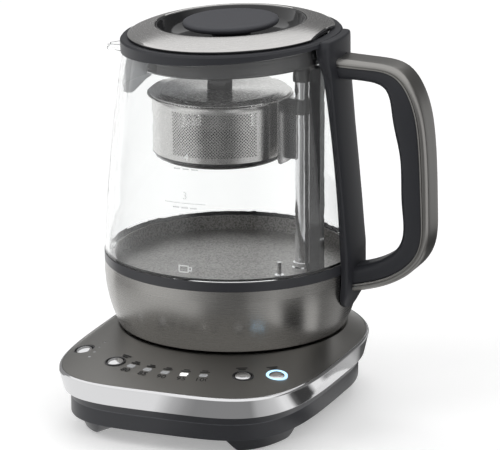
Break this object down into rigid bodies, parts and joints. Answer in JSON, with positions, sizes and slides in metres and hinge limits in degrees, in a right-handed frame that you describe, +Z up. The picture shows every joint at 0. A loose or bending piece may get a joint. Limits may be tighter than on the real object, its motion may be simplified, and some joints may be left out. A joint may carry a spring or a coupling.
{
  "type": "automatic tea maker",
  "caption": "Glass tea kettle with a lift-off lid, a tea basket sliding on an inner post and a loop handle, on a powered base with push buttons.",
  "frame": {"origin": "middle of the footprint of the whole object, on the surface it stands on", "axes": "+Z up, +X towards the handle, -Y towards the control panel"},
  "size_m": [0.2203, 0.2221, 0.2498],
  "materials": {
    "charcoal_plastic": "fine matt",
    "matt_knob": "soft matt",
    "gloss_black": "gloss",
    "gunmetal": "brushed satin",
    "polished_trim": "polished",
    "brushed_steel": "brushed",
    "spreader_aluminium": "as cast",
    "rubber": "matt",
    "clear_glass": "clear",
    "clear_plastic": "translucent",
    "light_guide": "frosted",
    "lit_ring": "frosted, lit",
    "board": "solder mask",
    "switch_body": "matt",
    "brass": "bare"
  },
  "bodies": {
    "base": {"base_housing": "charcoal_plastic", "base_trim": "polished_trim", "base_plate": "gunmetal", "rubber_foot_front_left": "rubber", "rubber_foot_front_right": "rubber", "rubber_foot_rear_left": "rubber", "rubber_foot_rear_right": "rubber", "cord_gland": "charcoal_plastic", "temperature_light_guide": "light_guide", "strength_light_guide": "light_guide", "control_board": "board", "strength_bezel": "gloss_black", "tea_bezel": "gloss_black", "warm_bezel": "gloss_black", "start_bezel": "lit_ring", "strength_switch": "switch_body", "tea_switch": "switch_body", "warm_switch": "switch_body", "start_switch": "switch_body", "power_board": "board", "relay": "gloss_black", "connector_turret": "charcoal_plastic", "base_live_ring": "brass", "earth_pin": "brass"},
    "strength_key": {"strength_button": "polished_trim"},
    "tea_key": {"tea_button": "polished_trim"},
    "warm_key": {"warm_button": "polished_trim"},
    "start_key": {"start_button": "polished_trim"},
    "jug": {"jug_shell": "gunmetal", "jug_band": "charcoal_plastic", "jug_cover": "charcoal_plastic", "pan_support": "charcoal_plastic", "heating_pan": "brushed_steel", "heat_spreader": "spreader_aluminium", "heating_element": "brushed_steel", "thermostat": "gloss_black", "connector_socket": "charcoal_plastic", "jug_live_ring": "brass", "glass_jug": "clear_glass", "spout_filter": "clear_plastic", "jug_collar": "charcoal_plastic", "post_tube": "polished_trim", "post_foot": "polished_trim", "post_cap": "charcoal_plastic", "guide_rail": "charcoal_plastic", "temperature_probe": "polished_trim", "handle_spine": "charcoal_plastic", "handle_cover": "gunmetal", "handle_grip": "charcoal_plastic"},
    "lid": {"lid_ring": "brushed_steel", "lid_skirt": "charcoal_plastic", "lid_seal": "rubber", "lid_bowl": "gloss_black", "lid_knob": "matt_knob"},
    "basket": {"basket_wall": "brushed_steel", "basket_base": "charcoal_plastic", "basket_slider": "charcoal_plastic"},
    "magnet": {"lift_magnet": "brushed_steel"},
    "basket_cover": {"basket_lid": "brushed_steel", "basket_knob": "charcoal_plastic"}
  },
  "joints": [
    {"name": "strength_press", "type": "slide", "parent": "base", "child": "strength_key", "axis": [-0.1193, -0.1307, 0.9842], "range_m": [-0.001, 0], "stiffness_N_per_m": 600, "springref_m": 0.001},
    {"name": "tea_press", "type": "slide", "parent": "base", "child": "tea_key", "axis": [-0.0493, -0.1168, 0.9919], "range_m": [-0.001, 0], "stiffness_N_per_m": 600, "springref_m": 0.001},
    {"name": "warm_press", "type": "slide", "parent": "base", "child": "warm_key", "axis": [0.0545, -0.1152, 0.9918], "range_m": [-0.001, 0], "stiffness_N_per_m": 600, "springref_m": 0.001},
    {"name": "start_press", "type": "slide", "parent": "base", "child": "start_key", "axis": [0.0912, -0.121, 0.9884], "range_m": [-0.001, 0], "stiffness_N_per_m": 600, "springref_m": 0.001},
    {"name": "jug_lift", "type": "slide", "parent": "base", "child": "jug", "axis": [0, 0, 1], "range_m": [0, 0.12]},
    {"name": "lid_lift", "type": "slide", "parent": "jug", "child": "lid", "axis": [-0.0454, 0, 0.999], "range_m": [0, 0.05]},
    {"name": "basket_slide", "type": "slide", "parent": "jug", "child": "basket", "axis": [0, 0, 1], "range_m": [-0.066, 0]},
    {"name": "magnet_slide", "type": "slide", "parent": "jug", "child": "magnet", "axis": [0, 0, 1], "range_m": [-0.066, 0]},
    {"name": "basket_lid_lift", "type": "slide", "parent": "basket", "child": "basket_cover", "axis": [0, 0, 1], "range_m": [0, 0.018]}
  ],
  "couplings": [
    {"joint": "magnet_slide", "follows": "basket_slide", "ratio": 1}
  ]
}
